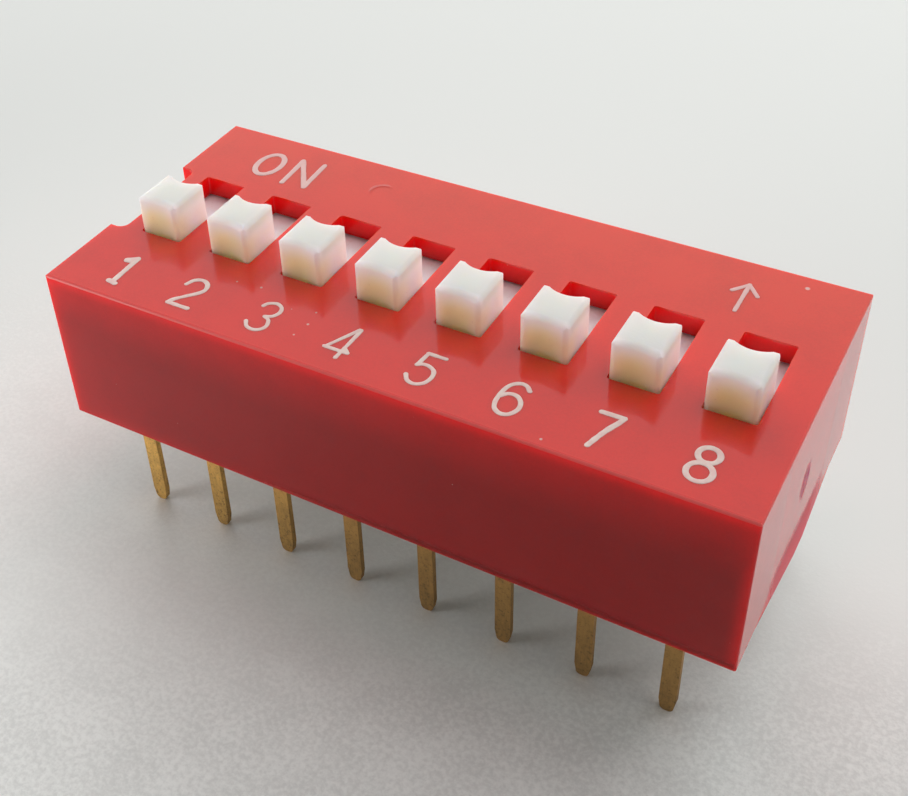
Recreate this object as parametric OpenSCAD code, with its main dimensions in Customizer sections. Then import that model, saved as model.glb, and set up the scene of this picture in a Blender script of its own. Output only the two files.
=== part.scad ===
// Slide DIP switch, eight stations, through-hole.
// +X runs along the row towards station 8, +Y towards the ON side, +Z up.
// The origin is the middle of the cover's rim, the plane that sits on a circuit board.
// Every slider is drawn in its OFF place.

/* [Stations] */
// Distance between neighbouring stations
pitch = 2.54; // [2.45:0.01:3.2]
// Distance between the two rows of legs
row_spacing = 7.62; // [6.6:0.01:10.2]

/* [Cover] */
// From a row of legs to the cover's long side
row_margin = 1.065; // [0.95:0.005:1.6]
// Height of the cover, rim to top face
cover_h = 5.3; // [4.8:0.05:7]
// Thickness of the long walls
side_wall = 0.6; // [0.4:0.01:0.7]
// Thickness of the end walls
end_wall = 0.55; // [0.45:0.01:0.6]
// Thickness of the top wall
top_wall = 0.65; // [0.5:0.01:0.8]
// Rounding of the outer edges
edge_r = 0.07; // [0.03:0.01:0.3]
// Length of a slot, along the slider's travel
slot_l = 3.44; // [2.9:0.01:4.2]
// Width of a slot
slot_w = 1.45; // [1.2:0.01:1.7]
// Rounding of the slot corners
slot_r = 0.07; // [0.03:0.01:0.2]

/* [End details] */
// Depth of the orientation notch into the station 1 end
notch_depth = 0.55; // [0.3:0.01:0.7]
// Width of the orientation notch
notch_w = 3.72; // [2:0.01:5]
// Rounding of the notch corners
notch_r = 0.3; // [0.1:0.01:0.5]
// Thickness left under the notch, as against the top wall
notch_skin = 0.13; // [0.1:0.01:0.3]
// Height of the swelling along the foot of each end wall
swell_h = 0.55; // [0.4:0.01:1.2]
// Length of the swelling at the rim
swell_l = 6.8; // [5:0.1:9]
// How far the swelling stands proud
swell_out = 0.12; // [0.03:0.01:0.2]
// Length of its most proud part
swell_ridge = 0.8; // [0.2:0.1:2]
// How far its top line stops short of the rim's at each end
swell_ramp = 1.6; // [0.5:0.1:2]
// Width of the snap bead on each end of the base
snap_w = 4.8; // [2:0.1:7]
// Height of the snap bead
snap_h = 0.3; // [0.15:0.01:0.45]
// Lower edge of the snap bead, above the rim
snap_z = 0.34; // [0.25:0.01:1]
// How far the snap bead reaches into its groove
snap_out = 0.15; // [0.05:0.01:0.25]

/* [Base] */
// Height of the base's underside above the rim
base_lift = 0.15; // [0.05:0.01:0.3]
// Height of the cell floors above the rim
floor_z = 1.8; // [1.3:0.01:2]
// Thickness of the walls between cells
divider_t = 0.5; // [0.4:0.01:0.6]
// Thickness of the base's long walls
base_side_t = 0.3; // [0.2:0.01:0.5]
// Thickness of the base's end walls
base_end_t = 0.26; // [0.2:0.01:1.5]

/* [Sliders] */
// Height of the knob above the cover
knob_h = 1.19; // [0.6:0.01:2]
// Depth of the knob, along its travel
knob_d = 1.52; // [1.1:0.01:1.8]
// Depth of the scoop in the knob's ON-side face
scoop_back = 0.2; // [0.05:0.01:0.25]
// Depth of the scoop in the knob's OFF-side face
scoop_front = 0.13; // [0.03:0.01:0.2]
// Rounding of the lip over the ON-side scoop
lip_back = 0.06; // [0.03:0.01:0.1]
// Rounding of the lip over the OFF-side scoop
lip_front = 0.17; // [0.05:0.01:0.2]
// Flat land at each side of a scoop
scoop_land = 0.14; // [0.14:0.01:0.2]
// Rounding of the knob's edges
knob_edge = 0.13; // [0.04:0.01:0.13]
// Thickness of the flange that closes the slot from below
flange_t = 0.6; // [0.4:0.01:0.8]
// How far the flange still covers the slot's far end at either limit
flange_lap = 0.1; // [0.05:0.01:0.2]
// Thickness of the cheeks that guard the contact
cheek_t = 0.24; // [0.15:0.01:0.3]
// How far a cheek reaches past the contact's feet
cheek_lap = 0.15; // [0.05:0.01:0.4]
// Gap between a cheek's foot and the cell floor
cheek_gap = 0.4; // [0.2:0.01:0.8]
// Diameter of the peg through the contact
peg_dia = 0.4; // [0.25:0.01:0.5]
// How far the peg's staked head stands out past the peg
head_lip = 0.12; // [0.08:0.01:0.16]
// Thickness of the staked head
head_t = 0.12; // [0.06:0.01:0.25]

/* [Terminals] */
// Thickness of the terminal strip
terminal_t = 0.2; // [0.18:0.01:0.3]
// Width of a leg
leg_w = 0.5; // [0.44:0.01:0.6]
// Length of a leg below the rim
leg_drop = 4; // [2.5:0.05:5]
// Length of the tapered tip
tip_l = 0.45; // [0.2:0.01:0.8]
// Width of the leg's end
tip_w = 0.4; // [0.34:0.01:0.42]
// Rounding of the corners at the leg's end
tip_r = 0.16; // [0.05:0.01:0.16]
// Inner radius of the bend above each leg
bend_r = 0.12; // [0.05:0.01:0.2]
// Width of the contact pad
pad_w = 1.2; // [0.8:0.01:1.5]
// How far the OFF-side pad runs past the resting contact foot
pad_lap = 0.18; // [0.1:0.01:0.3]
// Gap between the two pads of a cell
pad_gap = 0.7; // [0.4:0.01:0.9]

/* [Contacts] */
// Thickness of the contact strip
strip_t = 0.15; // [0.1:0.01:0.2]
// Width of the contact strip
strip_w = 1; // [0.7:0.01:1.1]
// From the middle of a contact to a foot
foot_reach = 1.12; // [1:0.01:1.3]
// Middle radius of a contact foot
foot_r = 0.3; // [0.2:0.01:0.35]

/* [Clearances] */
// Side gap between a knob and its slot
knob_gap = 0.035; // [0.02:0.005:0.08]
// Gap between a knob and the slot's end at each limit
stop_gap = 0.03; // [0.02:0.005:0.08]
// Side gap between a flange and its cell
flange_gap = 0.06; // [0.03:0.005:0.1]
// Gap between a flange and the cover's top wall
lid_gap = 0.05; // [0.03:0.005:0.1]
// Gap between the base and the cover's walls
base_gap = 0.03; // [0.02:0.005:0.06]
// Gap between a slider's peg or cheek and the contact
contact_gap = 0.03; // [0.02:0.005:0.05]
// Gap between the peg's head and the legs of the contact
head_gap = 0.055; // [0.03:0.005:0.1]
// Gap between a flange and the end of its cell at each limit
cell_end_gap = 0.06; // [0.04:0.005:0.2]
// Gap between a contact foot and the pads
foot_gap = 0.02; // [0.01:0.005:0.05]

/* [Hidden] */
$fn = 48;
stations = 8;
cut = 1; // how far a cutting shape runs past what it cuts

// Travel of a slider, and the flange that has to cover its slot at both limits
travel = slot_l - knob_d - 2 * stop_gap;
off_y = -travel / 2;
flange_l = slot_l + travel + 2 * flange_lap;

// Cover: long enough for its cells, and wide enough for both the legs and the sliders' travel
cell_w = pitch - divider_t;
cell_room = flange_l + travel + 2 * cell_end_gap;
cover_l = (stations - 1) * pitch + cell_w + 2 * (base_end_t + base_gap + end_wall);
cover_w = max(row_spacing + 2 * row_margin, cell_room + 2 * (base_side_t + base_gap + side_wall));
cavity_l = cover_l - 2 * end_wall;
cavity_w = cover_w - 2 * side_wall;
cavity_h = cover_h - top_wall;
notch_h = top_wall - notch_skin;

// Base
base_l = cavity_l - 2 * base_gap;
base_w = cavity_w - 2 * base_gap;
base_top = cavity_h - base_gap;
cell_l = base_w - 2 * base_side_t;

// Sliders
knob_w = slot_w - 2 * knob_gap;
knob_top = cover_h + knob_h;
flange_top = cavity_h - lid_gap;
flange_bottom = flange_top - flange_t;
flange_mid = flange_top - flange_t / 2;
flange_w = cell_w - 2 * flange_gap;
head_dia = peg_dia + 2 * head_lip;
cheek_inner = strip_w / 2 + contact_gap;
cheek_l = 2 * (foot_reach + foot_r + strip_t / 2 + cheek_lap);
cheek_low = floor_z + cheek_gap;
head_top = flange_bottom - strip_t - contact_gap;

// Contacts: a foot's centre lies foot_r off the line of its leg, which fixes the leg's lean
bridge_half = head_dia / 2 + head_gap + strip_t / 2;
foot_z = floor_z + foot_gap + foot_r + strip_t / 2;
bridge_z = flange_bottom - strip_t / 2;
leg_out = foot_reach - bridge_half;
leg_down = bridge_z - foot_z;
leg_run = sqrt(leg_out * leg_out + leg_down * leg_down - foot_r * foot_r);
leg_lean = atan2(leg_out, leg_down) - atan2(foot_r, leg_run);

// Terminals
leg_outer = row_spacing / 2 + terminal_t / 2;
bend_outer = bend_r + terminal_t;
front_pad_end = off_y + foot_reach + pad_lap;
back_pad_end = front_pad_end + pad_gap;

red = [0.80, 0.23, 0.22];
grey = [0.33, 0.33, 0.30];
white = [0.93, 0.92, 0.88];
gilt = [0.78, 0.62, 0.30];

function station_x(i) = (i - (stations + 1) / 2) * pitch;
// Radius of the arc that has this chord and this rise
function arc_r(chord, rise) = (chord * chord / 4 + rise * rise) / (2 * rise);

// A rectangle about the origin with four round corners
module rounded_rect(size, r) {
    square([size[0] - 2 * r, size[1]], center = true);
    square([size[0], size[1] - 2 * r], center = true);
    for (x = [-1, 1], y = [-1, 1])
        translate([x * (size[0] / 2 - r), y * (size[1] / 2 - r)])
            circle(r);
}

// An upright rectangle on y = low to y = high whose two top corners are round
module arched_rect(width, low, high, r) {
    translate([-width / 2, low])
        square([width, high - low - r]);
    translate([-width / 2 + r, low])
        square([width - 2 * r, high - low]);
    for (x = [-1, 1])
        translate([x * (width / 2 - r), high - r])
            circle(r);
}

// A block with round vertical and top edges, standing on z = low
module soft_block(size, low, high, r) {
    intersection() {
        translate([0, 0, low])
            linear_extrude(high - low)
                rounded_rect(size, r);
        rotate([90, 0, 0])
            linear_extrude(size[1] + 2 * cut, center = true)
                arched_rect(size[0], low - cut, high, r);
        rotate([90, 0, 90])
            linear_extrude(size[0] + 2 * cut, center = true)
                arched_rect(size[1], low - cut, high, r);
    }
}

// The children, and their mirror image at the other end
module both_ends() {
    children();
    mirror([1, 0, 0])
        children();
}

// ---- cover ----

// All that lies behind a plane through a point, whose outward normal starts along +X, leans up
// by lean degrees and then turns by turn degrees
module behind(point, lean, turn) {
    side = 3 * swell_l;
    translate(point)
        rotate([0, -lean, turn])
            translate([-side, -side / 2, -side / 2])
                cube(side);
}

// All that lies behind the face at the swelling's end towards +Y
module behind_end() {
    run = (swell_l - swell_ridge) / 2 / swell_out;
    climb = swell_ramp / swell_h;
    behind([0, swell_l / 2, 0], atan2(climb, sqrt(run * run + 1)), atan2(1, run));
}

// The swelling at the foot of the end wall that faces +X: one face slopes out to the rim, and a
// face at each end runs out along it. It keeps the wall thick over the snap groove.
module end_swell() {
    buried = end_wall / 2;
    translate([cover_l / 2, 0, 0])
        intersection() {
            translate([-buried, -swell_l / 2, 0])
                cube([buried + swell_out, swell_l, swell_h]);
            behind([swell_out, 0, 0], atan2(swell_out, swell_h), 0);
            behind_end();
            mirror([0, 1, 0])
                behind_end();
        }
}

// The groove inside the end wall that the base's bead snaps into
module snap_groove() {
    translate([cavity_l / 2 - cut, -snap_w / 2 - base_gap, snap_z - base_gap])
        cube([cut + snap_out + base_gap, snap_w + 2 * base_gap, snap_h + 2 * base_gap]);
}

module end_notch() {
    translate([-cover_l / 2, 0, cover_h - notch_h])
        linear_extrude(notch_h + cut)
            rounded_rect([2 * notch_depth, notch_w], notch_r);
}

module cover() {
    color(red)
        difference() {
            union() {
                soft_block([cover_l, cover_w], 0, cover_h, edge_r);
                both_ends()
                    end_swell();
            }
            translate([-cavity_l / 2, -cavity_w / 2, -cut])
                cube([cavity_l, cavity_w, cavity_h + cut]);
            both_ends()
                snap_groove();
            for (i = [1:stations])
                translate([station_x(i), 0, cavity_h - cut])
                    linear_extrude(top_wall + 2 * cut)
                        rounded_rect([slot_w, slot_l], slot_r);
            end_notch();
        }
}

// ---- base ----

module snap_bead() {
    translate([base_l / 2 - cut, -snap_w / 2, snap_z])
        cube([cut + base_gap + snap_out, snap_w, snap_h]);
}

// A block with one open-topped cell for each station. The terminals are moulded into its floors.
module base() {
    color(grey)
        difference() {
            union() {
                translate([-base_l / 2, -base_w / 2, base_lift])
                    cube([base_l, base_w, base_top - base_lift]);
                both_ends()
                    snap_bead();
            }
            for (i = [1:stations]) {
                translate([station_x(i) - cell_w / 2, -cell_l / 2, floor_z])
                    cube([cell_w, cell_l, base_top - floor_z + cut]);
                front_terminal(i);
                back_terminal(i);
            }
        }
}

// ---- sliders ----

// Half of the section of the tool that cuts a scoop of radius r and rounds the lip over it
module scoop_section(r, lip) {
    difference() {
        union() {
            translate([0, flange_mid - cut])
                square([r, knob_top - flange_mid + 2 * cut]);
            translate([0, knob_top - lip])
                square([r + lip, lip + cut]);
        }
        translate([r + lip, knob_top - lip])
            circle(lip);
    }
}

// The tool that cuts the scoop in the knob's face towards +Y
module scoop_tool(depth, lip) {
    r = arc_r(knob_w - 2 * scoop_land, depth);
    translate([0, knob_d / 2 - depth + r, 0])
        rotate_extrude($fn = 180)
            scoop_section(r, lip);
}

module knob() {
    difference() {
        intersection() {
            translate([-knob_w / 2, -knob_d / 2, flange_mid])
                cube([knob_w, knob_d, knob_top - flange_mid]);
            soft_block([knob_w, knob_d], flange_bottom, knob_top, knob_edge);
        }
        scoop_tool(scoop_back, lip_back);
        mirror([0, 1, 0])
            scoop_tool(scoop_front, lip_front);
    }
}

module cheeks() {
    for (side = [-1, 1])
        translate([side * (cheek_inner + cheek_t / 2), 0, (cheek_low + flange_mid) / 2])
            cube([cheek_t, cheek_l, flange_mid - cheek_low], center = true);
}

// The peg that passes through the contact, with its head staked over
module peg() {
    translate([0, 0, head_top - head_t])
        cylinder(d = peg_dia, h = flange_mid - head_top + head_t);
    translate([0, 0, head_top - head_t])
        cylinder(d = head_dia, h = head_t);
}

module slider(i) {
    color(white)
        translate([station_x(i), off_y, 0]) {
            knob();
            translate([-flange_w / 2, -flange_l / 2, flange_bottom])
                cube([flange_w, flange_l, flange_t]);
            cheeks();
            peg();
        }
}

// ---- contacts ----

// One leg of the strip seen from the side, with a round shoulder and a curled foot
module contact_leg() {
    translate([bridge_half, bridge_z])
        rotate(leg_lean) {
            circle(strip_t / 2);
            translate([-strip_t / 2, -leg_run])
                square([strip_t, leg_run]);
            translate([0, -leg_run])
                circle(strip_t / 2);
            translate([foot_r, -leg_run])
                intersection() {
                    difference() {
                        circle(foot_r + strip_t / 2);
                        circle(foot_r - strip_t / 2);
                    }
                    polygon([[0, 0], [-cut, 0], [-cut, -cut], [cut, -cut], [cut, -cut / 5]]);
                }
        }
}

module contact_profile() {
    translate([-bridge_half, bridge_z - strip_t / 2])
        square([2 * bridge_half, strip_t]);
    contact_leg();
    mirror([1, 0])
        contact_leg();
}

module contact(i) {
    color(gilt)
        translate([station_x(i), off_y, 0])
            difference() {
                rotate([90, 0, 90])
                    linear_extrude(strip_w, center = true)
                        contact_profile();
                translate([0, 0, bridge_z - strip_t])
                    cylinder(d = peg_dia + 2 * contact_gap, h = 2 * strip_t);
            }
}

// ---- terminals ----

// A leg seen from the front: straight, then a tapered tip with round corners
module leg_front() {
    end_half = tip_w / 2 - tip_r;
    translate([-leg_w / 2, tip_l - leg_drop])
        square([leg_w, leg_drop + floor_z - tip_l]);
    translate([0, -leg_drop]) {
        polygon([
            [-leg_w / 2, tip_l], [-tip_w / 2, tip_r], [-end_half, 0],
            [end_half, 0], [tip_w / 2, tip_r], [leg_w / 2, tip_l]
        ]);
        for (side = [-1, 1])
            translate([side * end_half, tip_r])
                circle(tip_r);
    }
}

// The strip seen from the side: pad along the floor, bend, leg down to the tip
module terminal_side(pad_end) {
    translate([leg_outer - terminal_t, -leg_drop])
        square([terminal_t, leg_drop + floor_z - bend_outer]);
    translate([pad_end, floor_z - terminal_t])
        square([leg_outer - bend_outer - pad_end, terminal_t]);
    translate([leg_outer - bend_outer, floor_z - bend_outer])
        intersection() {
            difference() {
                circle(bend_outer);
                circle(bend_r);
            }
            square(2 * bend_outer);
        }
}

// A terminal on the +Y side, its pad reaching in to y = pad_end
module terminal(pad_end) {
    intersection() {
        rotate([90, 0, 90])
            linear_extrude(pad_w, center = true)
                terminal_side(pad_end);
        union() {
            translate([-pad_w / 2, pad_end - cut, floor_z - terminal_t - cut])
                cube([pad_w, leg_outer - bend_outer - pad_end + cut, terminal_t + 2 * cut]);
            rotate([90, 0, 0])
                linear_extrude(4 * row_spacing, center = true)
                    leg_front();
        }
    }
}

module front_terminal(i) {
    color(gilt)
        translate([station_x(i), 0, 0])
            mirror([0, 1, 0])
                terminal(-front_pad_end);
}

module back_terminal(i) {
    color(gilt)
        translate([station_x(i), 0, 0])
            terminal(back_pad_end);
}

cover();
base();
slider(1);  // slider_1
slider(2);  // slider_2
slider(3);  // slider_3
slider(4);  // slider_4
slider(5);  // slider_5
slider(6);  // slider_6
slider(7);  // slider_7
slider(8);  // slider_8
contact(1);  // contact_1
contact(2);  // contact_2
contact(3);  // contact_3
contact(4);  // contact_4
contact(5);  // contact_5
contact(6);  // contact_6
contact(7);  // contact_7
contact(8);  // contact_8
front_terminal(1);  // front_terminal_1
front_terminal(2);  // front_terminal_2
front_terminal(3);  // front_terminal_3
front_terminal(4);  // front_terminal_4
front_terminal(5);  // front_terminal_5
front_terminal(6);  // front_terminal_6
front_terminal(7);  // front_terminal_7
front_terminal(8);  // front_terminal_8
back_terminal(1);  // back_terminal_1
back_terminal(2);  // back_terminal_2
back_terminal(3);  // back_terminal_3
back_terminal(4);  // back_terminal_4
back_terminal(5);  // back_terminal_5
back_terminal(6);  // back_terminal_6
back_terminal(7);  // back_terminal_7
back_terminal(8);  // back_terminal_8
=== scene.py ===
"""Looks of an eight-station slide DIP switch: red cover, white knobs, gilt legs, printed digits.

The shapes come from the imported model. This script dresses every node with a procedural finish,
prints the marks on the cover, and sets up the floor, the lamps and the camera. Lengths are in
metres in Blender and in millimetres in the classes, as on a drawing.
"""

from __future__ import annotations

import logging
import math
from dataclasses import dataclass, field
from enum import Enum
from functools import cached_property
from typing import Iterable, Sequence, Union

import bpy
import numpy as np
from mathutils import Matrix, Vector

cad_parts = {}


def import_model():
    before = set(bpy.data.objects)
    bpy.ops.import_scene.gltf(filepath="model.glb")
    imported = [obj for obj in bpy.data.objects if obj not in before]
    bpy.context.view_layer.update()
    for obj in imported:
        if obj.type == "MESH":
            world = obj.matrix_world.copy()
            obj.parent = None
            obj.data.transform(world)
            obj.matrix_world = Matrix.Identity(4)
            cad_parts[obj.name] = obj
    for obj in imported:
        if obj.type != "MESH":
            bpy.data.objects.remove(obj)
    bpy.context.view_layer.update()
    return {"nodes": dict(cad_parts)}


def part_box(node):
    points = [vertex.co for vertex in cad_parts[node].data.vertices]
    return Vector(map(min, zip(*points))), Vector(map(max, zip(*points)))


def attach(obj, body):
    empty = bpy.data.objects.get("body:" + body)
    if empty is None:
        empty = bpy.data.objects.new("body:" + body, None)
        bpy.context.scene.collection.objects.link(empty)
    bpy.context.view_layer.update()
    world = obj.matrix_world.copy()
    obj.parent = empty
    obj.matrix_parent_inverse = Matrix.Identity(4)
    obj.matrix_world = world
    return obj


LOG = logging.getLogger("dip_switch")
MM = 0.001
SEED = 20
# Fewest points in a path or a wave.
FEWEST = 4
# Sockets of the Mix node when it mixes colours.
MIX_FIRST = 6
MIX_SECOND = 7
MIX_RESULT = 2

Colour = tuple[float, float, float]
Point = tuple[float, float, float]
Place = tuple[float, float]
Number = Union[float, "Signal"]
# Where a soft mask is 0 and where it is 1, in millimetres.
Span = tuple[float, float]


def in_mm(length: float) -> float:
    """A length of the frame in millimetres, to the nearest thousandth."""
    return round(float(length) / MM, 3)


# ---------------------------------------------------------------- shader maths


class Signal:
    """One output socket. Arithmetic on it adds Math nodes to its sheet."""

    def __init__(self, sheet: "NodeSheet", socket: bpy.types.NodeSocket) -> None:
        """Wraps a socket.

        Args:
            sheet: the node sheet that new Math nodes go on.
            socket: the output socket that carries the value.
        """
        self.sheet = sheet
        self.socket = socket

    def _maths(self, operation: str, *operands: Number) -> "Signal":
        """Adds one Math node that works on the operands in order."""
        return self.sheet.add(
            "ShaderNodeMath", {"operation": operation}, dict(enumerate(operands))
        )

    def __add__(self, other: Number) -> "Signal":
        """self + other."""
        return self._maths("ADD", self, other)

    __radd__ = __add__

    def __sub__(self, other: Number) -> "Signal":
        """self - other."""
        return self._maths("SUBTRACT", self, other)

    def __rsub__(self, other: Number) -> "Signal":
        """other - self."""
        return self._maths("SUBTRACT", other, self)

    def __mul__(self, other: Number) -> "Signal":
        """self * other."""
        return self._maths("MULTIPLY", self, other)

    __rmul__ = __mul__

    def __pow__(self, power: Number) -> "Signal":
        """self to a power."""
        return self._maths("POWER", self, power)

    def __abs__(self) -> "Signal":
        """The size of self without its sign."""
        return self._maths("ABSOLUTE", self)

    def smooth(self, low: float, high: float) -> "Signal":
        """A soft step from 0 at low to 1 at high, also where high is the smaller."""
        first, last = (0.0, 1.0) if low < high else (1.0, 0.0)
        return self.sheet.add(
            "ShaderNodeMapRange",
            {"interpolation_type": "SMOOTHSTEP"},
            {"Value": self, "From Min": min(low, high), "From Max": max(low, high),
             "To Min": first, "To Max": last},
        )

    def near(self, face: float, short: Span) -> "Signal":
        """A soft step up to a face at plus or minus a distance, with its span short of that face."""
        side = math.copysign(1.0, face)
        return self.smooth(face - side * short[0], face - side * short[1])

    def swing(self, amount: float) -> "Signal":
        """Noise from 0 to 1 made to swing round 0, by half the amount each way."""
        return (self - 0.5) * amount

    def least(self, other: Number) -> "Signal":
        """The smaller of the two."""
        return self._maths("MINIMUM", self, other)

    def most(self, other: Number) -> "Signal":
        """The larger of the two."""
        return self._maths("MAXIMUM", self, other)


class NodeSheet:
    """The node tree of a material or a world, drawn up from nothing."""

    def __init__(self, tree: bpy.types.NodeTree, end: str) -> None:
        """Clears the tree and gives it an output node.

        Args:
            tree: the tree to draw in.
            end: Blender's type name of the output node.
        """
        self.tree = tree
        self.tree.nodes.clear()
        self.end = self.node(end)

    def join(self, socket: bpy.types.NodeSocket, value: object) -> None:
        """Links a Signal to an input socket, or writes a plain value into it.

        Args:
            socket: the input socket.
            value: a Signal, a number, a vector, or a colour without its alpha.
        """
        if isinstance(value, Signal):
            self.tree.links.new(value.socket, socket)
        elif socket.type == "RGBA":
            socket.default_value = (*value, 1.0)
        else:
            socket.default_value = value

    def node(self, kind: str, settings: dict | None = None, inputs: dict | None = None) -> bpy.types.Node:
        """Makes any node.

        Args:
            kind: Blender's type name of the node.
            settings: attributes to set first.
            inputs: sockets by name or number, each with a value or a Signal.

        Returns:
            The new node.
        """
        node = self.tree.nodes.new(kind)
        for key, value in (settings or {}).items():
            setattr(node, key, value)
        for key, value in (inputs or {}).items():
            self.join(node.inputs[key], value)
        return node

    def add(
        self, kind: str, settings: dict | None = None, inputs: dict | None = None, output: Union[int, str] = 0
    ) -> Signal:
        """Makes any node and gives the output that is asked for, by name or number."""
        return Signal(self, self.node(kind, settings, inputs).outputs[output])

    def show(self, surface: Signal) -> None:
        """Sends a shader to the output node."""
        self.join(self.end.inputs["Surface"], surface)


class FinishSheet(NodeSheet):
    """The node tree of one material, with a Principled shader of its own."""

    def __init__(self, name: str) -> None:
        """Makes the material.

        Args:
            name: the material's name.
        """
        self.material = bpy.data.materials.new(name)
        self.material.use_nodes = True
        super().__init__(self.material.node_tree, "ShaderNodeOutputMaterial")
        self.shader = self.node("ShaderNodeBsdfPrincipled")
        self.own = Signal(self, self.shader.outputs[0])
        self.show(self.own)

    def cross(self, other: Signal, factor: Signal) -> None:
        """Fades from another shader to the sheet's own as factor goes from 0 to 1."""
        self.show(self.add("ShaderNodeMixShader", inputs={0: factor, 1: other, 2: self.own}))

    def place(self) -> Signal:
        """Object coordinates in metres."""
        return self.add("ShaderNodeTexCoord", output="Object")

    def axes(self) -> tuple[Signal, Signal, Signal]:
        """Object coordinates along X, Y and Z, in millimetres."""
        parts = self.node("ShaderNodeSeparateXYZ", inputs={0: self.place()})
        return tuple(Signal(self, part) * (1 / MM) for part in parts.outputs)

    def noise(
        self, size: float, detail: float = 3.0, rough: float = 0.55, stretch: Point = (1.0, 1.0, 1.0)
    ) -> Signal:
        """Noise from 0 to 1 whose features are about size millimetres across.

        Args:
            size: width of a feature in millimetres.
            detail: number of finer octaves.
            rough: strength of the finer octaves.
            stretch: factors on X, Y and Z; under 1 draws the pattern out.

        Returns:
            The noise.
        """
        turned = self.add(
            "ShaderNodeMapping", inputs={"Vector": self.place(), "Scale": stretch}
        )
        return self.add(
            "ShaderNodeTexNoise",
            inputs={"Vector": turned, "Scale": 1 / (size * MM), "Detail": detail, "Roughness": rough},
            output="Fac",
        )

    def specks(self, spacing: float, radius: float, share: float) -> Signal:
        """Round specks: 1 inside, 0 outside, softly edged.

        Args:
            spacing: mean distance between places for a speck, in millimetres.
            radius: radius of a speck in millimetres.
            share: share of the places that hold one.

        Returns:
            The mask of the specks.
        """
        cells = self.node(
            "ShaderNodeTexVoronoi", {"feature": "F1"}, {"Vector": self.place(), "Scale": 1 / (spacing * MM)}
        )
        away = Signal(self, cells.outputs["Distance"])
        lot = self.add("ShaderNodeSeparateColor", inputs={0: Signal(self, cells.outputs["Color"])})
        edge = radius / spacing
        return away.smooth(edge, edge * 0.55) * lot.smooth(share, share * 0.98)

    def blend(self, factor: Number, first: Union[Colour, Signal], second: Union[Colour, Signal]) -> Signal:
        """A colour that goes from first to second as factor goes from 0 to 1."""
        return self.add(
            "ShaderNodeMix", {"data_type": "RGBA"},
            {0: factor, MIX_FIRST: first, MIX_SECOND: second}, MIX_RESULT,
        )

    def scaled(self, colour: Signal, strength: Signal) -> Signal:
        """A colour times a strength."""
        return self.add(
            "ShaderNodeVectorMath", {"operation": "SCALE"}, {0: colour, "Scale": strength}
        )

    def bump(self, height: Signal, depth: float, normal: Signal | None = None) -> Signal:
        """A bumped normal.

        Args:
            height: height from 0 to 1.
            depth: how deep a full step is, in millimetres.
            normal: a normal to go on from.

        Returns:
            The new normal.
        """
        inputs = {"Height": height, "Distance": depth * MM, "Strength": 1.0}
        if normal is not None:
            inputs["Normal"] = normal
        return self.add("ShaderNodeBump", inputs=inputs, output="Normal")

    def finish(self, **sockets: object) -> bpy.types.Material:
        """Writes to the shader's own sockets.

        Args:
            sockets: values or Signals by the names of their sockets, with _ for a space.

        Returns:
            The finished material.
        """
        for key, value in sockets.items():
            self.join(self.shader.inputs[key.replace("_", " ")], value)
        return self.material


# ---------------------------------------------------------------- the cover's zones


@dataclass(frozen=True)
class CoverSize:
    """The cover's outer faces in millimetres, from the middle of its rim."""

    half_length: float
    half_width: float
    top: float

    @classmethod
    def read(cls, cover: bpy.types.Object) -> "CoverSize":
        """Measures the cover's upper half, clear of the swellings along the foot of its end walls.

        Args:
            cover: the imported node.

        Returns:
            The sizes.
        """
        flat = np.empty(3 * len(cover.data.vertices))
        cover.data.vertices.foreach_get("co", flat)
        points = flat.reshape(-1, 3)
        upper = points[points[:, 2] > points[:, 2].max() / 2]
        return cls(*(in_mm(reach) for reach in upper.max(axis=0)))


@dataclass(frozen=True)
class CoverZones:
    """Soft masks of the cover's surface, each 1 in its zone and 0 outside it."""

    size: CoverSize
    x: Signal
    y: Signal
    z: Signal

    @cached_property
    def top(self) -> Signal:
        """The top face and the upper part of its rounded edges."""
        return self.z.near(self.size.top, (0.10, 0.02))

    @cached_property
    def flat_top(self) -> Signal:
        """The top face with less of its rounded edges."""
        return self.z.near(self.size.top, (0.10, 0.01))

    @cached_property
    def long_walls(self) -> Signal:
        """The outer faces of the long walls."""
        return abs(self.y).near(self.size.half_width, (0.095, 0.015))

    @cached_property
    def last_end(self) -> Signal:
        """The outer face of the end wall by the last station."""
        return self.x.near(self.size.half_length, (0.25, 0.15))

    @cached_property
    def long_edges(self) -> Signal:
        """The rounded edges between the top and the long walls."""
        out = abs(self.y).near(self.size.half_width, (0.075, 0.055))
        return out * self.z.near(self.size.top, (0.08, 0.06))

    @cached_property
    def foot(self) -> Signal:
        """The foot and underside of the long walls, painted darker as shade, growing from station 1 to past
        the middle.
        """
        low = self.z.smooth(0.4, 0.0) * abs(self.y).near(self.size.half_width, (0.725, 0.625))
        return low * self.x.smooth(-9.0, 4.0) * self.x.near(self.size.half_length, (0.0, 0.07))

    @cached_property
    def reflection_band(self) -> Signal:
        """A band low on the end wall by the last station, whose colour paints a different reflection."""
        return self.last_end * self.z.smooth(1.05, 0.6) * abs(self.y).smooth(2.8, 1.8)

    @cached_property
    def painted_glow(self) -> Signal:
        """Where the walls' colour paints a glow of light soaking through them.

        It is 1 in the slots and over the middle of the end walls, strong under the top edges of the
        long walls and fading 2 mm down, and weaker by their upright edges.

        Returns:
            The mask.
        """
        below = self.z.near(self.size.top, (2.3, 0.3)) * 0.5 + self.z.near(self.size.top, (0.45, 0.0)) * 0.5
        last = self.x.near(self.size.half_length, (0.45, 0.03)) * 0.4
        first = self.x.near(-self.size.half_length, (4.25, 0.05)) * 0.2
        middle = abs(self.y).smooth(2.6, 2.2)
        return (self.long_walls * below.most(last.most(first))).most(middle)


# ---------------------------------------------------------------- finishes


def shade(colour: Colour, share: float) -> Colour:
    """The colour at a share of its brightness."""
    return tuple(share * c for c in colour)


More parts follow.
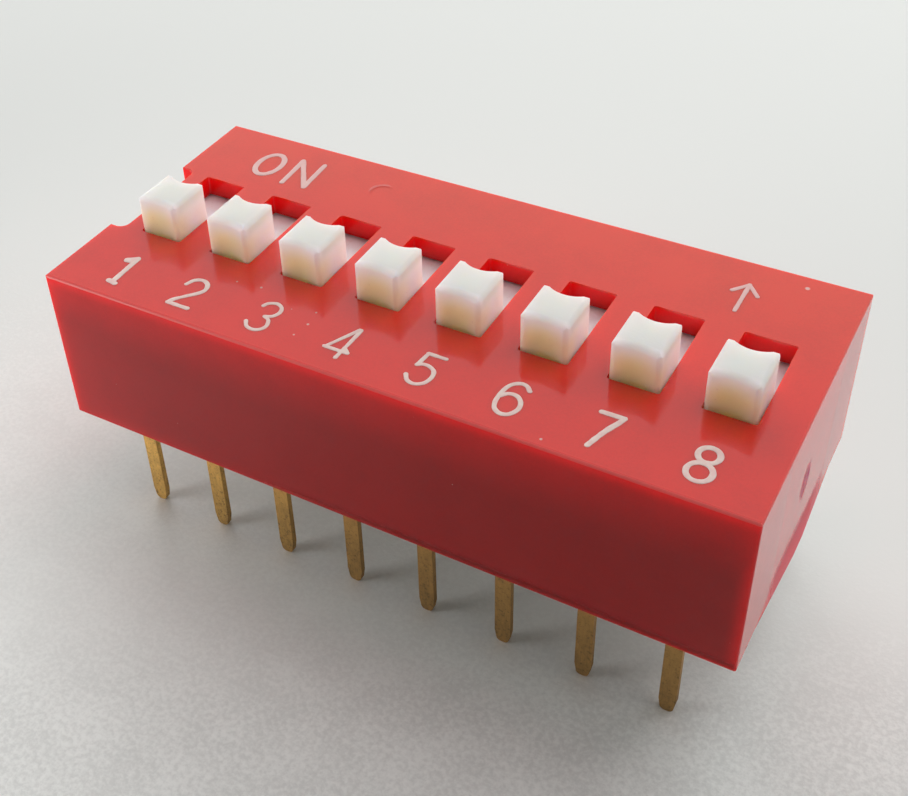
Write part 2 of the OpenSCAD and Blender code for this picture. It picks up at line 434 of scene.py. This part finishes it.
def distance(across: Signal, along: Signal) -> Signal:
    """How far a place is from where both coordinates are 0."""
    return (across * across + along * along) ** 0.5


def spot(across: Signal, along: Signal, centre: Place, radius: float) -> Signal:
    """A soft round spot: 1 at its centre and 0 at its radius, all in millimetres."""
    return distance(across - centre[0], along - centre[1]).smooth(radius, radius * 0.4)


@dataclass(frozen=True)
class RedMoulding:
    """Red moulded thermoplastic of the cover: glossy, faintly mottled, with dust and tool marks.

    Light soaks deep into the walls. The colour paints a glow where it soaks through, near the top edges
    and in the slots, and painted shade on the long walls, darkest at their foot. The top is painted paler
    towards the back as a sheen and has part of a witness ring and a few pale specks, and the end wall by
    the last station has the scar of the moulding gate and a band low down whose colour paints a reflection.
    """

    cover: CoverSize
    name: str = "red_moulding"
    top: Colour = (0.75, 0.013, 0.003)
    # painted sheen: the top's paler red at the back
    back: Colour = (0.79, 0.042, 0.010)
    # painted shade: the long walls darker than the top and the end walls
    side: Colour = (0.42, 0.012, 0.012)
    end: Colour = (0.76, 0.045, 0.045)
    # painted glow where light soaks through the walls
    glow: Colour = (0.93, 0.010, 0.012)
    dust: Colour = (0.75, 0.62, 0.56)
    # the gate scar's colour; at 0.3 it also paints a reflection in the band low on the last end wall
    scar: Colour = (0.50, 0.04, 0.16)
    roughness: float = 0.13
    painted_sheen_span: Span = (-2.0, 4.5)  # along Y: the top goes from its own colour to that of its back
    ring_at: Place = (-4.05, 3.38)
    ring_radius: float = 0.38
    ring_line: float = 0.10  # half the width of the ring's line
    gate_at: Place = (-0.20, 2.60)  # Y and Z on the end wall
    gate_radius: float = 0.80  # half the height of the scar
    gate_narrow: float = 1.6  # its height over its width
    specks: tuple[tuple[float, float, float], ...] = (  # X, Y and radius of the pale specks
        (9.08, 4.31, 0.09), (5.12, -4.58, 0.05), (-4.63, -2.50, 0.05), (-2.58, -2.78, 0.04),
        (-2.50, -3.33, 0.05), (-2.60, -3.89, 0.04),
    )

    def ground(self, sheet: FinishSheet, zones: CoverZones) -> Signal:
        """The moulding's colour on its walls and its top, with painted shade on the long walls and their
        foot, a painted glow where light soaks through, and a painted sheen at the back of the top.

        Args:
            sheet: the material's sheet.
            zones: the cover's zones on it.

        Returns:
            The colour.
        """
        # painted shade: the long walls darker than the end walls
        wall = sheet.blend(zones.long_walls, self.end, self.side)
        # painted glow where light soaks through
        wall = sheet.blend(zones.painted_glow, wall, self.glow)
        # painted shade at the foot of the long walls
        wall = sheet.blend(zones.foot, wall, shade(self.side, 0.25))
        # painted sheen: the top paler towards the back
        top = sheet.blend(zones.y.smooth(*self.painted_sheen_span), self.top, self.back)
        return sheet.blend(zones.top, wall, top)

    def dusty(self, sheet: FinishSheet, zones: CoverZones) -> Signal:
        """Where dust lies: fine specks in patches all over, and the pale specks on the top.

        Args:
            sheet: the material's sheet.
            zones: the cover's zones on it.

        Returns:
            The mask.
        """
        dust = sheet.specks(1.1, 0.04, 0.08).most(sheet.specks(0.55, 0.022, 0.10) * 0.7)
        dust = dust * sheet.noise(0.3).smooth(0.35, 0.6) * 0.6
        for across, along, radius in self.specks:
            dust = dust.most(spot(zones.x, zones.y, (across, along), radius) * zones.flat_top * 0.8)
        return dust

    def gate(self, sheet: FinishSheet, zones: CoverZones) -> Signal:
        """The scar of the moulding gate, a ragged upright oval.

        Args:
            sheet: the material's sheet.
            zones: the cover's zones on it.

        Returns:
            The mask.
        """
        centre = (self.gate_narrow * self.gate_at[0], self.gate_at[1])
        oval = spot(zones.y * self.gate_narrow, zones.z, centre, self.gate_radius)
        return oval * sheet.noise(0.2, 3.0).smooth(0.35, 0.55) * zones.last_end

    def witness(self, zones: CoverZones) -> Signal:
        """The line of the witness ring, of which the left and back parts show.

        Args:
            zones: the cover's zones.

        Returns:
            The mask.
        """
        dx, dy = zones.x - self.ring_at[0], zones.y - self.ring_at[1]
        line = abs(distance(dx, dy) - self.ring_radius).smooth(self.ring_line, 0.0)
        return line * dx.smooth(0.25, -0.1) * dy.smooth(-0.35, 0.1) * zones.flat_top

    def build(self) -> bpy.types.Material:
        """Builds the material. Light soaks less deep into the top than into the walls.

        Returns:
            The finished material.
        """
        sheet = FinishSheet(self.name)
        zones = CoverZones(self.cover, *sheet.axes())
        mottle = sheet.noise(1.6, 4.0)
        grain = sheet.noise(0.07, 2.0)
        gate, ring_line = self.gate(sheet, zones), self.witness(zones)
        tint = mottle.swing(0.24) + grain.swing(0.16) + 0.97
        colour = sheet.scaled(self.ground(sheet, zones), tint.least(1.0))
        colour = sheet.blend(self.dusty(sheet, zones), colour, self.dust)
        # the gate scar, and a painted reflection in the band low on the last end wall
        colour = sheet.blend((gate * 0.9).most(zones.reflection_band * 0.3), colour, self.scar)
        colour = sheet.blend(ring_line * 0.5, colour, shade(self.top, 0.7))
        rough = self.roughness + grain.swing(0.06) + mottle.swing(0.04)
        rough = rough + gate * 0.4 + zones.reflection_band * 0.2 + zones.foot * 0.4 + zones.long_edges * 0.3
        normal = sheet.bump(grain * 0.5 + sheet.noise(0.22, 3.0) * 0.5, 0.0015)
        normal = sheet.bump(ring_line.most(gate), 0.03, normal)
        face = sheet.add("ShaderNodeBsdfPrincipled", inputs={
            "Base Color": colour, "Roughness": rough - 0.04, "Normal": normal, "IOR": 1.75,
            "Subsurface Weight": 1.0, "Subsurface Radius": (1.0, 0.25, 0.2), "Subsurface Scale": 0.3 * MM,
        })
        sheet.cross(face, 1.0 - zones.top)
        return sheet.finish(
            Base_Color=colour, Roughness=rough, Normal=normal, IOR=1.36,
            Subsurface_Weight=1.0, Subsurface_Radius=(1.0, 0.10, 0.08), Subsurface_Scale=1.3 * MM,
        )


@dataclass(frozen=True)
class GreyMoulding:
    """Grey moulded thermoplastic of the base: satin, with flow clouds and dark flecks of filler."""

    name: str = "grey_moulding"
    tone: Colour = (0.33, 0.33, 0.30)
    fleck: Colour = (0.10, 0.10, 0.09)
    roughness: float = 0.42

    def build(self) -> bpy.types.Material:
        """Builds the material.

        Returns:
            The finished material.
        """
        sheet = FinishSheet(self.name)
        cloud = sheet.noise(1.2, 4.0)
        grain = sheet.noise(0.09, 2.0)
        colour = sheet.blend(cloud.smooth(0.3, 0.7), shade(self.tone, 0.85), self.tone)
        colour = sheet.blend(sheet.specks(0.35, 0.03, 0.25) * 0.6, colour, self.fleck)
        return sheet.finish(
            Base_Color=colour, Roughness=self.roughness + cloud.swing(0.2),
            Normal=sheet.bump(grain, 0.006), IOR=1.5,
        )


@dataclass(frozen=True)
class WhiteNylon:
    """White moulded nylon, with faint dirt low on the knobs, a painted warm cast of light through the nylon
    on their OFF side, and painted shade on their tops.

    Light soaks deeper into a knob than into the plate under it. The spans are heights and, where
    they say so, places along Y with the knob at OFF.
    """

    name: str = "white_nylon"
    body: Colour = (0.90, 0.955, 0.92)
    # painted warm light: the knobs' OFF-side faces, tinted as light through the nylon
    painted_warm_front: Colour = (0.91, 0.89, 0.59)
    # painted shade: the knobs' tops darker than their sides
    painted_shade_top: Colour = (0.735, 0.785, 0.73)
    dirt: Colour = (0.60, 0.52, 0.42)
    roughness: float = 0.55
    deep_share: float = 0.45
    knob: Span = (4.6, 5.2)  # from the plate up to the knob
    dirty: Span = (6.45, 5.6)  # down from the knob's top
    off_side: Span = (-0.8, -1.7)  # along Y
    under_top: Span = (6.5, 5.7)
    over_plate: Span = (4.9, 5.2)
    knob_top: Span = (6.0, 6.4)
    behind_lip: Span = (-1.62, -1.36)  # along Y

    def build(self) -> bpy.types.Material:
        """Builds the material.

        Returns:
            The finished material.
        """
        sheet = FinishSheet(self.name)
        _, y, z = sheet.axes()
        cloud = sheet.noise(0.5, 4.0)
        grain = sheet.noise(0.08, 2.0)
        marks = sheet.noise(0.12, 3.0, 0.7).smooth(0.62, 0.74) * z.smooth(*self.dirty)
        # painted warm light on the knobs' OFF-side faces
        painted_warm_front = y.smooth(*self.off_side) * z.smooth(*self.under_top) * z.smooth(*self.over_plate)
        colour = sheet.blend(painted_warm_front, self.body, self.painted_warm_front)
        # painted shade on the knobs' tops, behind their front lips
        colour = sheet.blend(z.smooth(*self.knob_top) * y.smooth(*self.behind_lip), colour, self.painted_shade_top)
        colour = sheet.blend(marks * 0.35, colour, self.dirt)
        colour = sheet.blend(sheet.specks(0.7, 0.035, 0.10) * 0.4, colour, self.dirt)
        rough = self.roughness + cloud.swing(0.16)
        normal = sheet.bump(grain * 0.5 + cloud * 0.5, 0.006)
        shallow = sheet.add("ShaderNodeBsdfPrincipled", inputs={
            "Base Color": colour, "Roughness": rough, "Normal": normal, "Subsurface Weight": 1.0,
            "Subsurface Radius": (1.0, 0.95, 0.85), "Subsurface Scale": 0.9 * MM,
        })
        sheet.cross(shallow, z.smooth(*self.knob) * self.deep_share)
        return sheet.finish(
            Base_Color=colour, Roughness=rough, Normal=normal, IOR=1.5,
            Subsurface_Weight=1.0, Subsurface_Radius=(1.0, 0.75, 0.50), Subsurface_Scale=3.0 * MM,
        )


@dataclass(frozen=True)
class GiltStrip:
    """Gilt brass strip: rolling lines along a leg, stains, and darker towards the tips.

    The legs of the last stations are painted darker than those of the first, as shade.
    """

    name: str = "gilt_strip"
    bright: Colour = (0.80, 0.50, 0.15)
    # painted shade: the legs of the last stations darker
    painted_shade_gilt: Colour = (0.44, 0.26, 0.092)
    dull: Colour = (0.15, 0.10, 0.05)
    roughness: float = 0.58
    tip: Span = (-1.0, -4.0)  # height
    painted_shade_span: Span = (-10.0, 0.5)  # along X

    def build(self) -> bpy.types.Material:
        """Builds the material.

        Returns:
            The finished material.
        """
        sheet = FinishSheet(self.name)
        x, _, z = sheet.axes()
        lines = sheet.noise(0.035, 3.0, 0.6, (1.0, 1.0, 0.06))
        stain = sheet.noise(0.20, 5.0, 0.7, (1.0, 1.0, 0.5))
        low = z.smooth(*self.tip)
        spots = sheet.noise(0.09, 3.0, 0.7).smooth(0.54, 0.68)
        dull = low * 0.4 + stain.swing(1.2) + lines.swing(0.25) + spots * 0.5 + 0.1
        # painted shade, growing along X towards the last stations
        colour = sheet.blend(x.smooth(*self.painted_shade_span), self.bright, self.painted_shade_gilt)
        colour = sheet.blend(dull.least(1.0).most(0.0), colour, self.dull)
        rough = self.roughness + low * 0.12 + lines.swing(0.12)
        normal = sheet.bump(lines * 0.6 + stain * 0.4, 0.004)
        return sheet.finish(Base_Color=colour, Roughness=rough, Normal=normal, Metallic=1.0)


@dataclass(frozen=True)
class WhiteInk:
    """Pad-printed white ink, thin enough for a little red to show through."""

    name: str = "white_ink"
    thick: Colour = (0.80, 0.645, 0.59)
    thin: Colour = (0.76, 0.46, 0.44)
    roughness: float = 0.55
    thickening: Span = (6.0, -3.0)  # along Y

    def build(self) -> bpy.types.Material:
        """Builds the material. The ink is thinner towards the ON side.

        Returns:
            The finished material.
        """
        sheet = FinishSheet(self.name)
        _, y, _ = sheet.axes()
        patch = sheet.noise(0.20, 4.0, 0.6)
        cover = (patch.smooth(0.62, 0.40) * 0.5 + 0.5) * y.smooth(*self.thickening)
        colour = sheet.blend(cover, self.thin, self.thick)
        return sheet.finish(
            Base_Color=colour, Roughness=self.roughness + patch.swing(0.2),
            Normal=sheet.bump(patch, 0.004), IOR=1.48,
        )


@dataclass(frozen=True)
class GreyPaper:
    """Pale matt paper for the floor, with a fine tooth, fading out into the room far away."""

    name: str = "pale_paper"
    tone: Colour = (0.80, 0.815, 0.79)
    roughness: float = 0.9
    pressed: Span = (-6.0, 8.0)  # along Y
    nearby: Span = (-4.5, -10.0)  # along Y, less half of X
    fading: Span = (170.0, 60.0)  # from the middle of the switch

    def build(self) -> bpy.types.Material:
        """Builds the material.

        The tooth is plainer at the back, where the paper is pressed smooth, and coarser near the
        front right.

        Returns:
            The finished material.
        """
        sheet = FinishSheet(self.name)
        x, y, _ = sheet.axes()
        cloud = sheet.noise(1.4, 3.0, 0.6)
        tooth = sheet.noise(0.16, 3.0, 0.65)
        smooth = y.smooth(*self.pressed)
        fleck = (tooth * 0.7 + cloud * 0.3).smooth(0.36, 0.64).most(smooth)
        near = (y - x * 0.5).smooth(*self.nearby)
        low = sheet.blend(near, shade(self.tone, 0.93), shade(self.tone, 0.88))
        colour = sheet.blend(fleck, low, sheet.blend(near, self.tone, shade(self.tone, 1.05)))
        normal = sheet.bump(tooth * (1.0 - smooth * 0.8 + near * 0.5), 0.012)
        return sheet.finish(
            Base_Color=colour, Roughness=self.roughness, Normal=normal, Specular_IOR_Level=0.2,
            Alpha=distance(x, y).smooth(*self.fading),
        )


# ---------------------------------------------------------------- printed marks


def smooth_path(points: np.ndarray, step: float, fine: int = 24) -> np.ndarray:
    """A curve through the points, resampled evenly.

    Each stretch is a Catmull-Rom cubic: it passes through its two points, with a slope there of
    half the chord between the neighbours. Points given twice in a row make a corner.

    Args:
        points: N by 2 array.
        step: distance between the new points.
        fine: how many places on each stretch the cubic is worked out at first.

    Returns:
        M by 2 array of points along the curve.
    """
    padded = np.vstack([2 * points[0] - points[1], points, 2 * points[-1] - points[-2]])
    t = np.linspace(0, 1, fine, endpoint=False)[:, None]
    a, b, c, d = padded[:-3], padded[1:-2], padded[2:-1], padded[3:]
    cubic = 0.5 * (
        2 * b[:, None]
        + (c - a)[:, None] * t
        + (2 * a - 5 * b + 4 * c - d)[:, None] * t**2
        + (3 * b - a - 3 * c + d)[:, None] * t**3
    )
    dense = np.vstack([cubic.reshape(-1, 2), points[-1:]])
    along = np.concatenate([[0], np.cumsum(np.hypot(*np.diff(dense, axis=0).T))])
    count = max(FEWEST, int(round(along[-1] / step)) + 1)
    even = np.linspace(0, along[-1], count)
    return np.stack([np.interp(even, along, dense[:, k]) for k in (0, 1)], axis=1)


def grid_faces(rows: int, columns: int) -> np.ndarray:
    """Quads of a grid of points that is rows by columns, as an N by 4 array of indices."""
    first = (np.arange(rows - 1)[:, None] * columns + np.arange(columns - 1)[None]).reshape(-1, 1)
    return first + np.array([[0, columns, columns + 1, 1]])


def new_piece(
    name: str, points: np.ndarray, faces: np.ndarray, finish: bpy.types.Material, body: str
) -> bpy.types.Object:
    """Makes a smooth-shaded piece that rides on a body.

    Args:
        name: the piece's name.
        points: N by 3 array in millimetres.
        faces: M by 4 array of indices.
        finish: its material.
        body: the body that it rides on.

    Returns:
        The new object.
    """
    mesh = bpy.data.meshes.new(name)
    mesh.from_pydata(points * MM, [], faces.tolist())
    mesh.shade_smooth()
    mesh.validate()
    mesh.materials.append(finish)
    piece = bpy.data.objects.new(name, mesh)
    bpy.context.scene.collection.objects.link(piece)
    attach(piece, body)
    LOG.info("%s: %d faces on %s", name, len(mesh.polygons), body)
    return piece


@dataclass(frozen=True)
class Glyph:
    """One printed mark: pen strokes round its own centre, in millimetres."""

    name: str
    centre: Place
    pen: float
    strokes: tuple[tuple[Place, ...], ...]


def ring(
    cx: float, cy: float, rx: float, ry: float, start: float = 90, sides: int = 24
) -> tuple[Place, ...]:
    """Points all round an ellipse, from start in degrees and back to it."""
    angle = np.radians(np.linspace(start, start + 360, sides + 1))
    return tuple(zip(cx + rx * np.cos(angle), cy + ry * np.sin(angle)))


# The pen's width and its strokes for the digit of each station.
DIGIT_STROKES: dict[int, tuple[float, tuple]] = {
    1: (0.185, (
        ((-0.13, 0.45), (0.0, 0.53), (0.13, 0.63)),
        ((-0.12, 0.42), (0.02, 0.44), (0.12, 0.47)),
        ((0.14, 0.62), (0.155, 0.0), (0.17, -0.60)),
        ((0.04, -0.605), (0.17, -0.625), (0.29, -0.655)),
    )),
    2: (0.15, (
        ((-0.33, 0.27), (-0.23, 0.51), (0.0, 0.62), (0.235, 0.52), (0.335, 0.28), (0.25, 0.06),
         (-0.014, -0.24), (-0.23, -0.50), (-0.30, -0.665)),
        ((-0.30, -0.665), (0.05, -0.668), (0.39, -0.665)),
    )),
    3: (0.125, (
        ((-0.28, 0.42), (-0.20, 0.57), (0.03, 0.662), (0.24, 0.56), (0.316, 0.35), (0.23, 0.13),
         (0.03, 0.025)),
        ((0.03, 0.025), (0.22, -0.08), (0.316, -0.33), (0.23, -0.53), (0.04, -0.614), (-0.18, -0.56),
         (-0.33, -0.37)),
    )),
    4: (0.125, (
        ((0.18, 0.69), (0.06, 0.42), (-0.12, 0.05), (-0.29, -0.31)),
        ((-0.325, -0.32), (0.05, -0.32), (0.40, -0.315)),
        ((0.235, 0.69), (0.225, 0.0), (0.205, -0.61)),
        ((0.22, -0.16), (0.30, -0.22), (0.40, -0.31)),
    )),
    5: (0.13, (
        ((0.335, 0.668), (0.07, 0.668), (-0.19, 0.668)),
        ((-0.19, 0.668), (-0.215, 0.40), (-0.25, 0.13)),
        ((-0.25, 0.13), (-0.10, 0.215), (0.08, 0.205), (0.275, 0.085), (0.347, -0.16), (0.275, -0.44),
         (0.06, -0.586), (-0.17, -0.54), (-0.325, -0.34)),
    )),
    6: (0.14, (
        ((0.31, 0.50), (0.17, 0.645), (-0.01, 0.675), (-0.19, 0.56), (-0.29, 0.36), (-0.322, 0.05),
         (-0.307, -0.24), (-0.21, -0.48), (0.0, -0.595), (0.21, -0.52), (0.336, -0.27), (0.30, -0.02),
         (0.16, 0.155), (-0.01, 0.21), (-0.18, 0.15), (-0.30, 0.0)),
    )),
    7: (0.165, (
        ((-0.30, 0.625), (0.0, 0.63), (0.30, 0.63)),
        ((0.30, 0.63), (0.23, 0.42), (0.14, 0.22), (0.05, 0.0), (-0.04, -0.28), (-0.145, -0.65)),
    )),
    8: (0.16, (ring(0.04, 0.345, 0.27, 0.275), ring(0.018, -0.295, 0.32, 0.325))),
}

# The word ON, and an arrow that points to the ON side.
ON_MARKS: tuple[Glyph, ...] = (
    Glyph("print_on_o", (-8.22, 3.235), 0.19, (ring(0.0, 0.0, 0.40, 0.63, 60),)),
    Glyph("print_on_n", (-6.90, 3.22), 0.18, (
        ((-0.44, 0.67), (-0.40, 0.0), (-0.36, -0.72)),
        ((-0.44, 0.67), (0.0, 0.0), (0.42, -0.64)),
        ((0.35, 0.72), (0.39, 0.0), (0.43, -0.66)),
    )),
    Glyph("print_arrow", (7.62, 3.13), 0.13, (
        ((0.0, -0.66), (0.0, 0.0), (0.0, 0.62)),
        ((-0.36, 0.20), (-0.18, 0.42), (0.0, 0.64)),
        ((0.36, 0.20), (0.18, 0.42), (0.0, 0.64)),
    )),
)


@dataclass
class CoverPrint:
    """The white marks on the cover's top: a digit at each station, ON, and an arrow to the ON side."""

    finish: bpy.types.Material
    cover: CoverSize
    digit_y: float = -3.6
    thickness: float = 0.012
    sink: float = 0.004  # how far the edges of a stroke go into the cover
    waver: float = 0.05  # how much the width of a stroke varies, as a share
    step: float = 0.02  # distance between the rows of a stroke
    across: int = 9  # points in a row
    end_rows: int = 6  # rows in each round end
    wave_rows: int = 6  # rows to each random draw of the width
    full_at: float = 3.0  # a stroke is lower where it is narrower than its pen over this
    noise: np.random.Generator = field(default_factory=lambda: np.random.default_rng(SEED))

    def glyphs(self) -> Iterable[Glyph]:
        """Yields every mark with its place on the cover, each digit in line with its slider."""
        for number, (pen, strokes) in DIGIT_STROKES.items():
            low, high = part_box(f"slider_{number}")
            yield Glyph(f"print_{number}", (in_mm((low.x + high.x) / 2), self.digit_y), pen, strokes)
        yield from ON_MARKS

    def stroke(self, glyph: Glyph, points: Sequence[Place]) -> tuple[np.ndarray, np.ndarray]:
        """One pen stroke as a low ridge of ink.

        The ridge is a grid over the distance u along the path, run half a pen past each end, and
        v from -1 to 1 across it. Its half width is half the pen, closed at the ends as the root of
        1 - (overrun / half pen) squared, which makes the ends round, and varied by a slow random
        wave. Its height is the ink's thickness times the root of 1 - v squared, less where an end
        closes, and its two edges are sunk into the cover. A path that ends where it starts has no
        ends.

        Args:
            glyph: the mark that the stroke belongs to.
            points: the pen's path round the mark's centre.

        Returns:
            Points in millimetres and quads.
        """
        path = smooth_path(np.array(points, float), self.step)
        closed = bool(np.allclose(path[0], path[-1], atol=1e-6))
        half = glyph.pen / 2
        heading = np.gradient(path, axis=0)
        if closed:
            heading[0] = heading[-1] = path[1] - path[-2]
        heading /= np.linalg.norm(heading, axis=1, keepdims=True)
        if not closed:
            over = half * np.sin(np.linspace(0, math.pi / 2, self.end_rows + 1))[1:]
            path = np.vstack([
                path[0] - heading[0] * over[::-1, None], path, path[-1] + heading[-1] * over[:, None],
            ])
            shut = np.sqrt(np.clip(1 - (over / half) ** 2, 0, 1))
            width = np.concatenate([shut[::-1], np.ones(len(heading)), shut])
            heading = np.vstack([
                np.repeat(heading[:1], len(over), 0), heading, np.repeat(heading[-1:], len(over), 0),
            ])
        else:
            width = np.ones(len(path))
        knots = np.linspace(0, 1, max(FEWEST, len(path) // self.wave_rows))
        draws = self.noise.normal(0, self.waver, len(knots))
        wave = np.interp(np.linspace(0, 1, len(path)), knots, draws)
        if closed:
            wave[-1] = wave[0]
        v = np.sin(np.linspace(-math.pi / 2, math.pi / 2, self.across))
        side = np.stack([-heading[:, 1], heading[:, 0]], axis=1)
        reach = half * width * (1 + wave)
        flat = path[:, None] + side[:, None] * (reach[:, None] * v)[..., None]
        lift = self.thickness * np.sqrt(1 - v**2)[None] * np.minimum(1, width * self.full_at)[:, None]
        deep = np.zeros((1, self.across))
        deep[0, [0, -1]] = -self.sink
        rows = np.concatenate(
            [flat + np.array(glyph.centre), (self.cover.top + lift + deep)[..., None]], axis=2
        )
        faces = grid_faces(len(path), self.across)
        return rows.reshape(-1, 3), faces[:, ::-1]

    def build(self) -> None:
        """Prints every mark."""
        for glyph in self.glyphs():
            points, faces, count = [], [], 0
            for stroke in glyph.strokes:
                got, quads = self.stroke(glyph, stroke)
                points.append(got)
                faces.append(quads + count)
                count += len(got)
            new_piece(glyph.name, np.vstack(points), np.vstack(faces), self.finish, "housing")


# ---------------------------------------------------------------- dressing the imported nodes


class Part(Enum):
    """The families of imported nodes, by the start of their names."""

    COVER = "cover"
    BASE = "base"
    SLIDER = "slider"
    CONTACT = "contact"
    FRONT_TERMINAL = "front_terminal"
    BACK_TERMINAL = "back_terminal"


@dataclass
class Switch:
    """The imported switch, with a finish for each family of nodes."""

    nodes: dict[str, bpy.types.Object]
    finishes: dict[Part, bpy.types.Material]

    @staticmethod
    def family(name: str) -> Part:
        """The family that a node belongs to."""
        return next(part for part in Part if name.startswith(part.value))

    def dress(self) -> None:
        """Gives every node its finish."""
        for name, node in sorted(self.nodes.items()):
            finish = self.finishes[self.family(name)]
            node.data.materials.clear()
            node.data.materials.append(finish)
            LOG.info("%s: %s", name, finish.name)


# ---------------------------------------------------------------- studio


@dataclass(frozen=True)
class Lamp:
    """A square soft lamp, with its lengths in millimetres.

    A far lamp isn't mirrored, so it leaves no patch on the glossy faces. A near lamp shines in a
    cone, spread degrees wide, so the floor beside it isn't lit.
    """

    name: str
    place: Point
    power: float
    size: float = 160.0
    target: Point = (0.0, 0.0, 0.0)
    mirrored: bool = False
    spread: float = 180.0

    def build(self) -> None:
        """Hangs the lamp."""
        light = bpy.data.lights.new(self.name, "AREA")
        light.shape = "SQUARE"
        light.size = self.size * MM
        light.energy = self.power
        light.spread = math.radians(self.spread)
        lamp = bpy.data.objects.new(self.name, light)
        lamp.location = np.array(self.place) * MM
        lamp.rotation_mode = "QUATERNION"
        look = Vector(np.array(self.target) - np.array(self.place))
        lamp.rotation_quaternion = look.to_track_quat("-Z", "Y")
        lamp.visible_camera = False
        lamp.visible_glossy = self.mirrored
        bpy.context.scene.collection.objects.link(lamp)


@dataclass
class Studio:
    """Floor, daylight and camera."""

    paper: bpy.types.Material
    floor_z: float
    floor_half: float = 1500.0
    sky: float = 0.004  # strength of the surroundings as light
    room: float = 0.88  # their strength to the camera and in reflections
    lamps: tuple[Lamp, ...] = (
        Lamp("back_left", (-108.0, 187.5, 125.0), 0.24),
        Lamp("back_right", (62.5, 108.3, 216.5), 0.22),
        Lamp("left", (-203.4, 117.5, 85.5), 0.21),
        Lamp("back", (108.0, 187.5, 125.0), 0.105),
        Lamp("right", (177.0, 0.0, 177.0), 0.109),
        Lamp("above", (0.0, 4.4, 250.0), 0.085),
        Lamp(
            "near_left", (-34.0, -25.0, 8.0), 0.0016,
            size=22.0, target=(-11.0, -5.0, 1.0), mirrored=True, spread=80.0,
        ),
    )
    eye: Point = (14.773, -26.639, 27.826)
    turn: Point = (2.186, 0.564, -0.338)
    lens: float = 52.74
    sensor: float = 36.0
    shift: Place = (0.0767, -0.0811)
    nearest: float = 1.0  # the camera sees from here
    farthest: float = 10000.0  # to here

    def floor(self) -> None:
        """Lays the paper that the legs stand on."""
        half, z = self.floor_half * MM, self.floor_z * MM
        mesh = bpy.data.meshes.new("floor")
        corners = [(-half, -half, z), (half, -half, z), (half, half, z), (-half, half, z)]
        mesh.from_pydata(corners, [], [(0, 1, 2, 3)])
        mesh.materials.append(self.paper)
        floor = bpy.data.objects.new("floor", mesh)
        bpy.context.scene.collection.objects.link(floor)

    def world(self) -> None:
        """Pale surroundings: white to the camera and in reflections, and a faint fill as light."""
        world = bpy.data.worlds.new("room")
        world.use_nodes = True
        sheet = NodeSheet(world.node_tree, "ShaderNodeOutputWorld")
        rays = sheet.node("ShaderNodeLightPath").outputs
        camera, glossy, through = (
            Signal(sheet, rays[f"Is {kind} Ray"]) for kind in ("Camera", "Glossy", "Transmission")
        )
        seen = camera.most(glossy).most(through)
        strength = sheet.add(
            "ShaderNodeMapRange", inputs={"Value": seen, "To Min": self.sky, "To Max": self.room}
        )
        sheet.show(sheet.add(
            "ShaderNodeBackground", inputs={"Color": (1.0, 1.0, 1.0), "Strength": strength}
        ))
        bpy.context.scene.world = world

    def camera(self) -> None:
        """Sets the camera.

        turn is the turn of the picture's right, down and forward axes as one rotation about the
        vector, by its length in radians (Rodrigues' formula).
        """
        data = bpy.data.cameras.new("camera")
        data.sensor_width = self.sensor
        data.lens = self.lens
        data.shift_x, data.shift_y = self.shift
        data.clip_start, data.clip_end = self.nearest * MM, self.farthest * MM
        eye = bpy.data.objects.new("camera", data)
        spin = np.array(self.turn)
        angle = np.linalg.norm(spin)
        x, y, z = spin / angle
        cross = np.array([[0, -z, y], [z, 0, -x], [-y, x, 0]])
        turned = np.eye(3) + math.sin(angle) * cross + (1 - math.cos(angle)) * cross @ cross
        right, down, forward = turned
        matrix = np.eye(4)
        matrix[:3, 0], matrix[:3, 1], matrix[:3, 2] = right, -down, -forward
        matrix[:3, 3] = np.array(self.eye) * MM
        eye.matrix_world = Matrix(matrix.tolist())
        bpy.context.scene.collection.objects.link(eye)
        bpy.context.scene.camera = eye

    def build(self) -> None:
        """Sets everything up."""
        self.floor()
        self.world()
        for lamp in self.lamps:
            lamp.build()
        self.camera()
        bpy.context.scene.view_settings.view_transform = "Standard"


def main() -> None:
    """Builds the switch and the studio."""
    logging.basicConfig(level=logging.INFO, format="%(message)s")
    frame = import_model()
    cover = CoverSize.read(frame["nodes"]["cover"])
    gilt = GiltStrip().build()
    Switch(
        frame["nodes"],
        {
            Part.COVER: RedMoulding(cover).build(),
            Part.BASE: GreyMoulding().build(),
            Part.SLIDER: WhiteNylon().build(),
            Part.CONTACT: gilt,
            Part.FRONT_TERMINAL: gilt,
            Part.BACK_TERMINAL: gilt,
        },
    ).dress()
    CoverPrint(WhiteInk().build(), cover).build()
    leg_tip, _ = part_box("front_terminal_1")
    Studio(GreyPaper().build(), in_mm(leg_tip.z)).build()


if __name__ == "__main__":
    main()
